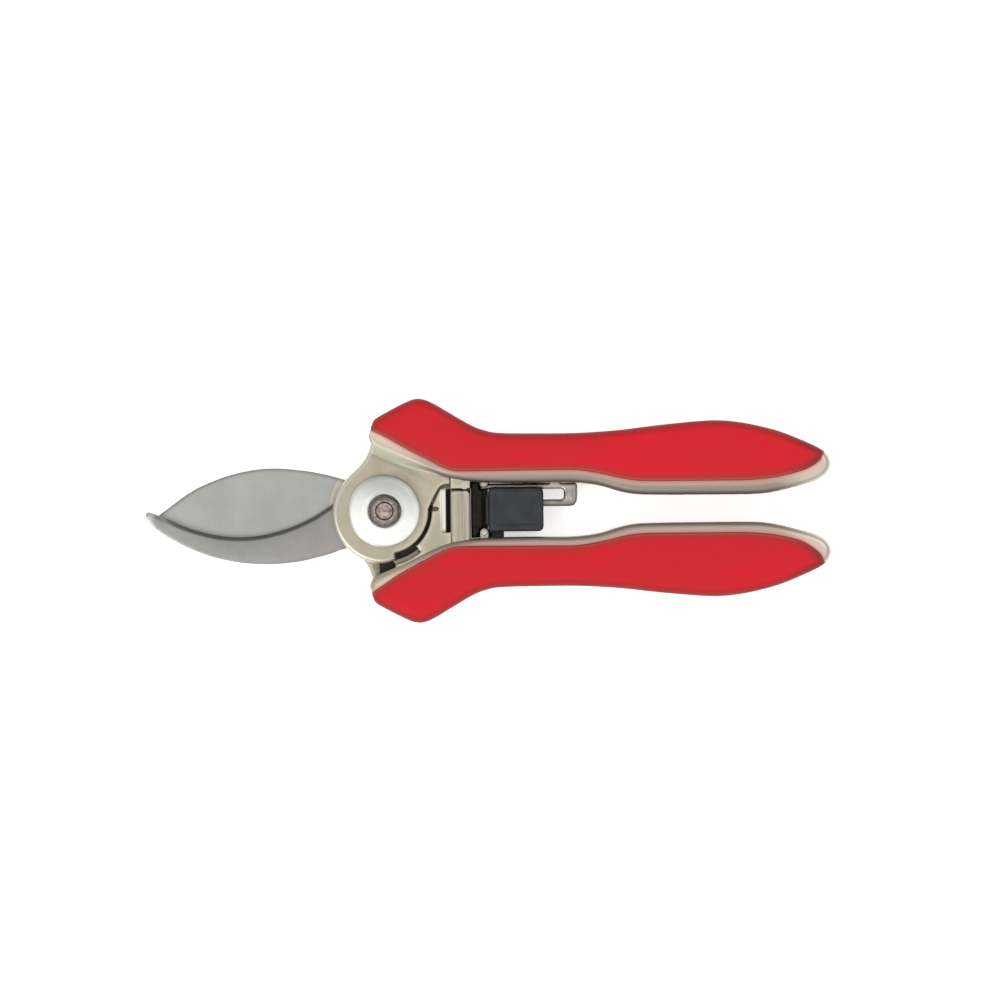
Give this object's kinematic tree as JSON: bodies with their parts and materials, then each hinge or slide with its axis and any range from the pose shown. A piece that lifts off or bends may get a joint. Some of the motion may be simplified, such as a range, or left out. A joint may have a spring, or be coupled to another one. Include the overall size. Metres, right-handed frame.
{
  "type": "hand pruner",
  "caption": "Compact hand pruner: curved blade passing a hooked counter blade, alloy handles with soft grips, sprung pivot and a sliding lock.",
  "frame": {"origin": "on the pivot axis, at the centre of the rear face of the pivot bolt's head, in the plane the tool lies on (coplanar with the backs of both grips)", "axes": "+X along the handles away from the jaws, +Y from the lower handle to the upper handle, +Z along the pivot axis from the bolt's head to its nut"},
  "size_m": [0.171, 0.0558, 0.0146],
  "materials": {
    "cast_alloy": "warm satin, lightly brushed",
    "soft_grip": "satin soft-touch",
    "jaw_steel": "satin",
    "blade_steel": "fine ground matte",
    "rivet_steel": "satin",
    "bolt_steel": "zinc satin",
    "bush_bronze": "turned bronze",
    "chrome_cover": "polished",
    "spring_wire": "drawn wire",
    "guide_steel": "bright",
    "button_plastic": "fine texture",
    "bumper_rubber": "matte"
  },
  "bodies": {
    "upper_handle": {"upper_handle_frame": "cast_alloy", "upper_grip": "soft_grip", "hook_blade": "jaw_steel", "hook_rivets": "rivet_steel", "pivot_bolt": "bolt_steel", "pivot_bush": "bush_bronze", "rear_washer": "bolt_steel", "spring_cover": "chrome_cover", "lock_washer": "bolt_steel", "pivot_nut": "bolt_steel", "return_spring": "spring_wire", "lock_guide": "guide_steel", "guide_pin": "rivet_steel", "bumper": "bumper_rubber", "bumper_rivet": "rivet_steel"},
    "lower_handle": {"lower_handle_frame": "cast_alloy", "lower_grip": "soft_grip", "cutting_blade": "blade_steel", "blade_rivets": "rivet_steel", "spring_drive_pin": "rivet_steel", "catch_pin": "rivet_steel"},
    "lock_slider": {"lock_button": "button_plastic"}
  },
  "joints": [
    {"name": "handle_pivot", "type": "hinge", "parent": "upper_handle", "child": "lower_handle", "pos_m": [0, 0, 0.0065], "axis": [0, 0, -1], "range_deg": [0, 28], "deforming": ["return_spring"]},
    {"name": "lock_slide", "type": "slide", "parent": "upper_handle", "child": "lock_slider", "axis": [1, 0, 0], "range_m": [0, 0.004]}
  ]
}
